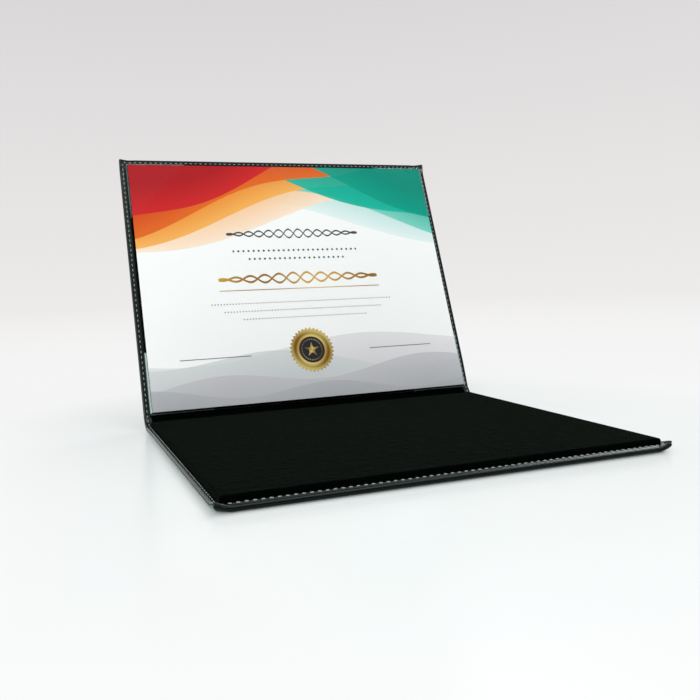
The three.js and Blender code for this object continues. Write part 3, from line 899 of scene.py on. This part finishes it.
def panel_surface(first, last, radius, edge, face):
    """Points over a panel's corner, sides and face from two lists of stations, counted from the corner."""
    p, q = np.meshgrid(first[:, 0], last[:, 0], indexing="ij")
    wall_p, wall_q = np.meshgrid(first[:, 1], last[:, 1], indexing="ij")
    p, q, inset = rounded_corner(p, q, radius)
    drop = np.maximum(rolled(inset, edge), np.maximum(wall_p, wall_q))
    return p, q, face - drop


def make_lining(half, seed):
    """Velvet drawn over the inner board, with soft round edges."""
    side = panel_stations(PANEL_WIDTH / 2, LINING_FACE - LINING_BASE, PANEL_EDGE, PANEL_STEP)
    ends = panel_stations(PANEL_HEIGHT / 2, LINING_FACE - LINING_BASE, PANEL_EDGE, PANEL_STEP)
    p, q, w = panel_surface(side, ends, PANEL_RADIUS, PANEL_EDGE, LINING_FACE)
    quarter = np.stack([p - PANEL_WIDTH / 2, FOLD_MARGIN + q, w], -1)
    right = quarter[::-1][1:] * np.array([-1, 1, 1])
    back = np.concatenate([quarter, right])
    front = back[:, ::-1][:, 1:].copy()
    front[..., 1] = 2 * FOLD_MARGIN + PANEL_HEIGHT - front[..., 1]
    top = np.concatenate([back, front], 1)
    from_side = PANEL_WIDTH / 2 - np.abs(top[..., 0])
    from_end = PANEL_HEIGHT / 2 - np.abs(top[..., 1] - FOLD_MARGIN - PANEL_HEIGHT / 2)
    soft = smooth((np.minimum(from_side, from_end) - PANEL_WAVE_INSET) / PANEL_WAVE_FADE)
    top[..., 2] += soft * PANEL_WAVE * (noise(top[..., 0], top[..., 1], *PANEL_WAVE_CELL, seed) - 1)
    spread = PANEL_SPREAD[half]
    top[..., 0] *= 1 + 2 * spread / PANEL_WIDTH
    top[..., 1] = FOLD_MARGIN + (top[..., 1] - FOLD_MARGIN) * (1 + spread / PANEL_HEIGHT)
    bottom = top.copy()
    bottom[..., 2] = LINING_BASE
    sheet = closed_sheet(PLACE[half](top), PLACE[half](bottom))
    return make_piece(half + "_velvet_panel", *sheet, VELVET_LOOK)


def make_film(name, sign, at_fold):
    """A clear corner: film over the panel's face, bent down over two of its edges."""
    drop = FILM_FACE - LINING_BASE - FILM_GAP
    line = panel_stations(FILM_LEG + FILM_SPARE, drop, FILM_EDGE, FILM_STEP)
    p, q, w = panel_surface(line, line, PANEL_RADIUS + FILM_GROW, FILM_EDGE, FILM_FACE)
    x = sign * (PANEL_WIDTH / 2 + FILM_GROW - p)
    end, away = (FOLD_MARGIN, 1) if at_fold else (FOLD_MARGIN + PANEL_HEIGHT, -1)
    u = end + away * (q - FILM_GROW)
    rows, columns = p.shape
    index = np.arange(rows * columns).reshape(rows, columns)
    faces = grid_faces(index)
    points = np.stack([x, u, w], -1).reshape(-1, 3)
    mesh = bpy.data.meshes.new(name)
    mesh.from_pydata((points * MM).tolist(), [], faces.tolist())
    work = bmesh.new()
    work.from_mesh(mesh)
    corner = Vector((sign * PANEL_WIDTH / 2, end, 0))
    inward = Vector((-sign, away, 0)).normalized()
    cut = (corner + inward * FILM_LEG / math.sqrt(2)) * MM
    whole = work.verts[:] + work.edges[:] + work.faces[:]
    bmesh.ops.bisect_plane(work, geom=whole, plane_co=cut, plane_no=inward, clear_outer=True)
    bmesh.ops.remove_doubles(work, verts=work.verts, dist=MERGE_DISTANCE)
    for edge in work.edges:
        edge.smooth = not edge.is_boundary
    for vertex in work.verts:
        vertex.co = Vector((in_upper(np.array(vertex.co) / MM) * MM).tolist())
    bmesh.ops.recalc_face_normals(work, faces=work.faces)
    face_up = Vector((0, -math.sin(UPPER_TILT), math.cos(UPPER_TILT)))
    if max(work.faces, key=lambda face: face.calc_area()).normal.dot(face_up) < 0:
        bmesh.ops.reverse_faces(work, faces=work.faces)
    work.to_mesh(mesh)
    work.free()
    piece = add_object(name, mesh, FILM_LOOK)
    thick = piece.modifiers.new("film", "SOLIDIFY")
    thick.thickness, thick.offset = FILM * MM, -1
    return piece


def make_certificate():
    """The sheet, in its own plane: x along the spine and y up the upper half."""
    low = FOLD_MARGIN + CERTIFICATE_MARGIN
    xs = stations(-CERTIFICATE_WIDTH / 2, CERTIFICATE_WIDTH / 2, SHEET_STEP)
    us = stations(low, low + CERTIFICATE_HEIGHT, SHEET_STEP)
    x, u = np.meshgrid(xs, us, indexing="ij")
    layers = [np.stack([x, u - low, np.full_like(x, w)], -1) for w in (CERTIFICATE_FACE, CERTIFICATE_BASE)]
    piece = make_piece("certificate_sheet", *closed_sheet(*layers), PAPER_LOOK)
    origin = in_upper(np.array([0.0, low, 0.0])) * MM
    piece.matrix_world = Matrix.Translation(origin.tolist()) @ Matrix.Rotation(UPPER_TILT, 4, "X")
    return piece


def make_gutter(half):
    """The black strip between the panels, from one panel round the fold to the middle of the spine."""
    xs = stations(-PANEL_WIDTH / 2, PANEL_WIDTH / 2, GUTTER_STEP)
    us = np.array([*spine_stations(), *stations(-FOLD_ZONE, FOLD_MARGIN - GUTTER_GAP, FOLD_STEP)])
    x, u = np.meshgrid(xs, us, indexing="ij")
    over, under = np.full_like(x, GUTTER_FACE), np.full_like(x, GUTTER_BASE)
    return make_folded(half + "_gutter_lining", half, x, u, over, under, VELVET_LOOK)


# The two halves

FREE_EDGE = {"lower": "front", "upper": "top"}


def bend_at_fold(piece):
    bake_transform(piece)


for half, seed in (("lower", 11), ("upper", 47)):
    cover = make_cover(half, seed)
    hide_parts(half + "_outer_cover", "spine_cover")
    bend_at_fold(cover)

    gutter = make_gutter(half)
    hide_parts("spine_lining")
    bend_at_fold(gutter)

    for sign, side in ((-1, "left"), (1, "right")):
        strip = make_side_hem(f"{half}_{side}_hem_strip", half, sign)
        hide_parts(f"{half}_{side}_hem", f"spine_{side}_hem")
        bend_at_fold(strip)
    strip = make_front_hem(f"{half}_{FREE_EDGE[half]}_hem_strip", half)
    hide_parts(f"{half}_{FREE_EDGE[half]}_hem")
    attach(strip, half + "_half")

    for index, (face, outward) in enumerate((("inner", 1), ("outer", -1))):
        name = f"{half}_{face}_stitches"
        row = make_stitches(name, half, outward, STITCH_LEVEL[face], seed + 1 + index)
        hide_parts(f"{half}_{face}_thread")
        bend_at_fold(row)

    panel = make_lining(half, seed + 3)
    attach(panel, half + "_half")
    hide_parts(half + "_lining")

sheet = make_certificate()
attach(sheet, "upper_half")
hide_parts("certificate")

for at_fold, level in ((True, "bottom"), (False, "top")):
    for sign, side in ((-1, "left"), (1, "right")):
        film = make_film(f"clear_film_{level}_{side}", sign, at_fold)
        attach(film, "upper_half")
        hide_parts(f"clear_corner_{level}_{side}")

for name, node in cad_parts.items():
    if name.endswith("board"):
        look = BOARD_LOOK
    elif name.endswith("foam_pad"):
        look = FOAM_LOOK
    else:
        continue
    node.data.materials.clear()
    node.data.materials.append(look)


# Camera, from the photograph's viewing angle

CAMERA_PLACE = Vector((-0.226804, -0.476754, 0.118137))
YAW, PITCH, ROLL = math.radians(19.558), math.radians(4.426), math.radians(-1.928)
FOCAL_PIXELS, FRAME_PIXELS = 763.5, 700
CENTRE_PIXELS = (-49.8, -16.6)
SENSOR = 36

forward = Vector((math.sin(YAW) * math.cos(PITCH), math.cos(YAW) * math.cos(PITCH), -math.sin(PITCH)))
level_right = Vector((math.cos(YAW), -math.sin(YAW), 0))
level_up = level_right.cross(forward)
right = math.cos(ROLL) * level_right + math.sin(ROLL) * level_up
up = math.cos(ROLL) * level_up - math.sin(ROLL) * level_right
camera_data = bpy.data.cameras.new("camera")
camera_data.sensor_width = SENSOR
camera_data.lens = FOCAL_PIXELS / FRAME_PIXELS * SENSOR
camera_data.shift_x = -CENTRE_PIXELS[0] / FRAME_PIXELS
camera_data.shift_y = CENTRE_PIXELS[1] / FRAME_PIXELS
camera_data.clip_start, camera_data.clip_end = 0.01, 50
camera = bpy.data.objects.new("camera", camera_data)
camera.matrix_world = Matrix.Translation(CAMERA_PLACE) @ Matrix((right, up, -forward)).transposed().to_4x4()
bpy.context.scene.collection.objects.link(camera)
bpy.context.scene.camera = camera


# Floor and backdrop: one pale sweep. What is seen of it is partly its own colour, so it stays pale far away.

NEAR_TONE, FLOOR_TONE = (0.965, 0.965, 0.965), (0.92, 0.92, 0.92)
FAR_TONE, HIGH_TONE = (0.847, 0.831, 0.823), (0.69, 0.677, 0.68)
BACKDROP_RISE, BACKDROP_AWAY = 1.9, 4.2
BACKDROP_SLOPE = BACKDROP_RISE / math.hypot(BACKDROP_RISE, BACKDROP_AWAY)
SWEEP_FRONT, SWEEP_WIDTH, SWEEP_HEIGHT = -4.0, 5.0, 3.5
SWEEP_DEPTH, SWEEP_BEND, SWEEP_STEPS = 3.0, 1.2, 24
SWEEP_DROP = 0.0001
NEAR_LIMITS, FAR_LIMITS = (-0.25, 0.2), (0.35, 2.8)
SHADOW_LIMITS, CLEAR_LIMITS, PAINTED_LIGHT_LEFT_LIMITS = (0.2, 0.36), (0.36, 0.6), (-0.17, -0.27)
OWN_LEAST, OWN_PAST_SHADOW, OWN_CLEAR, OWN_OVER_LEFT_SHADOW = 0.15, 0.75, 0.1, 0.82


def seen_share(tree):
    """1 for what is seen, by itself or in a gloss or clear thing, and 0 for what only gives light."""
    return ray_share(tree, "Camera", "Glossy", "Transmission")


def sweep_material():
    s = Surface("sweep", Specular_IOR_Level=0.28)
    mottle = s.texture("Noise", "Fac", scale=3, Detail=2)
    s.drive("Base Color", s.mix(mottle, (0.88, 0.895, 0.895), (0.895, 0.91, 0.91)))
    s.drive("Roughness", mottle * 0.06 + 0.2)
    x, y, z = axes_of(s.tree, s.place)
    colour = s.mix(y.ramp(*NEAR_LIMITS), NEAR_TONE, FLOOR_TONE)
    away = (x * x + y * y).math("SQRT")
    colour = s.mix(away.ramp(*FAR_LIMITS), colour, FAR_TONE)
    upward = z.math("DIVIDE", (away * away + z * z).math("SQRT"))
    colour = s.mix(upward.ramp(0, BACKDROP_SLOPE), colour, HIGH_TONE)
    own_share = away.ramp(*SHADOW_LIMITS) * OWN_PAST_SHADOW + away.ramp(*CLEAR_LIMITS) * OWN_CLEAR
    # Left of the holder the seen colour is nearly all its own: painted light that hides the holder's shadow
    # there.
    own_share = own_share.most(x.ramp(*PAINTED_LIGHT_LEFT_LIMITS) * OWN_OVER_LEFT_SHADOW) + OWN_LEAST
    share = seen_share(s.tree) * own_share
    own = s.tree.nodes.new("ShaderNodeEmission")
    s.tree.links.new(colour, own.inputs["Color"])
    both = s.tree.nodes.new("ShaderNodeMixShader")
    s.tree.links.new(share.socket, both.inputs[0])
    s.tree.links.new(s.shader.outputs[0], both.inputs[1])
    s.tree.links.new(own.outputs[0], both.inputs[2])
    s.tree.links.new(both.outputs[0], s.tree.nodes["Material Output"].inputs["Surface"])
    return s.material


def make_sweep():
    turns = np.linspace(0, math.pi / 2, SWEEP_STEPS)
    bend = [(SWEEP_DEPTH + SWEEP_BEND * math.sin(a), SWEEP_BEND * (1 - math.cos(a))) for a in turns]
    floor = [(SWEEP_FRONT, 0.0), (-1.0, 0.0), (0.0, 0.0), (1.0, 0.0)]
    profile = [*floor, *bend, (SWEEP_DEPTH + SWEEP_BEND, SWEEP_HEIGHT)]
    points = [(x, y, z - SWEEP_DROP) for x in (-SWEEP_WIDTH, SWEEP_WIDTH) for y, z in profile]
    count = len(profile)
    faces = [(count + i, count + i + 1, i + 1, i) for i in range(count - 1)]
    mesh = bpy.data.meshes.new("sweep")
    mesh.from_pydata(points, [], faces)
    sweep = add_object("sweep", mesh, sweep_material())


make_sweep()


# Light

def soft_light(name, place, target, size, power):
    data = bpy.data.lights.new(name, "AREA")
    data.shape, data.energy = "RECTANGLE", power
    data.size, data.size_y = size
    light = bpy.data.objects.new(name, data)
    light.location = place
    light.rotation_euler = (Vector(target) - Vector(place)).to_track_quat("-Z", "Y").to_euler()
    bpy.context.scene.collection.objects.link(light)


soft_light("key", place=(-1.35, -1.95, 1.15), target=(0, 0.1, 0.1), size=(1.6, 1.6), power=44)
soft_light("fill", place=(0.48, -0.66, 1.5), target=(0, 0.15, 0.15), size=(0.65, 0.65), power=2.8)
soft_light("back", place=(1.5, 1.05, 1.45), target=(0.05, -0.1, 0), size=(1.5, 0.45), power=11.5)

SKY_TONE, SKY_LEAST, SKY_GAIN = (0.88, 0.96, 0.95), 0.15, 0.75
SKY_BEHIND, SKY_ABOVE, SKY_LIMITS = 0.6, 0.8, (-0.4, 1)
LOW_SKY = (0.5, 0.3)


def make_sky():
    """Soft light from above and behind. Low down the sky shows the backdrop's own colours on every side."""
    world = bpy.data.worlds.new("studio")
    world.use_nodes = True
    tree = world.node_tree
    sky = tree.nodes["Background"]
    _, behind, above = axes_of(tree, tree.nodes.new("ShaderNodeTexCoord").outputs["Generated"])
    shown = seen_share(tree) * above.ramp(*LOW_SKY)
    backdrop = mixed(tree, above.ramp(0, BACKDROP_SLOPE), FAR_TONE, HIGH_TONE)
    level = (behind * SKY_BEHIND + above * SKY_ABOVE).ramp(*SKY_LIMITS) * SKY_GAIN + SKY_LEAST
    tree.links.new(mixed(tree, shown, SKY_TONE, backdrop), sky.inputs["Color"])
    tree.links.new((level + (level * -1 + 1) * shown).socket, sky.inputs["Strength"])
    bpy.context.scene.world = world


make_sky()
bpy.context.scene.view_settings.view_transform = "Standard"
